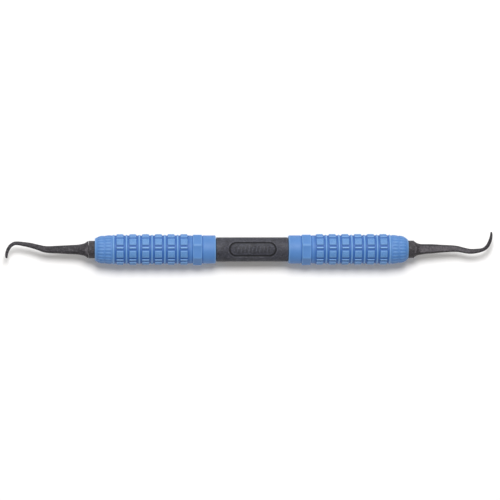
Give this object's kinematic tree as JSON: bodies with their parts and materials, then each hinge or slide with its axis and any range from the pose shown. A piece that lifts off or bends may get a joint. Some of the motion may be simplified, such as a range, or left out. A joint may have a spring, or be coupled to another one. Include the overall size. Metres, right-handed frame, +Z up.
{
  "type": "hand scaler",
  "caption": "Double-ended dental hand scaler: hollow handle, ribbed grip sleeves with a seven-sided anti-roll band, and screw-in hooked working ends.",
  "frame": {"origin": "on the surface that the scaler lies on, below the handle's axis, midway along its overall length", "axes": "+X along the handle towards the working end whose hook turns to +Y; +Z up, away from the surface; the label oval faces +Z"},
  "size_m": [0.1737, 0.0118, 0.011],
  "materials": {
    "handle_resin": "matt, finely textured moulded resin",
    "grip_silicone": "soft satin silicone",
    "insert_steel": "turned",
    "seal_rubber": "matt",
    "end_resin": "matt, slightly grainy moulded resin"
  },
  "bodies": {
    "handle": {"handle_core": "handle_resin", "left_grip_sleeve": "grip_silicone", "right_grip_sleeve": "grip_silicone", "left_socket_insert": "insert_steel", "right_socket_insert": "insert_steel"},
    "left_seal": {"left_seal_ring": "seal_rubber"},
    "left_tip": {"left_working_end": "end_resin"},
    "right_seal": {"right_seal_ring": "seal_rubber"},
    "right_tip": {"right_working_end": "end_resin"}
  },
  "joints": [
    {"name": "left_tip_travel", "type": "slide", "parent": "handle", "child": "left_seal", "axis": [-1, 0, 0], "range_m": [0, 0.0056]},
    {"name": "left_tip_unscrew", "type": "hinge", "parent": "left_seal", "child": "left_tip", "pos_m": [-0.0537, 0, 0.00554], "axis": [-1, 0, 0], "range_deg": [0, 2520]},
    {"name": "right_tip_travel", "type": "slide", "parent": "handle", "child": "right_seal", "axis": [1, 0, 0], "range_m": [0, 0.0056]},
    {"name": "right_tip_unscrew", "type": "hinge", "parent": "right_seal", "child": "right_tip", "pos_m": [0.0557, 0, 0.00554], "axis": [1, 0, 0], "range_deg": [0, 2520]}
  ],
  "couplings": [
    {"joint": "left_tip_unscrew", "follows": "left_tip_travel", "rad_per_m": 7854},
    {"joint": "right_tip_unscrew", "follows": "right_tip_travel", "rad_per_m": 7854}
  ]
}
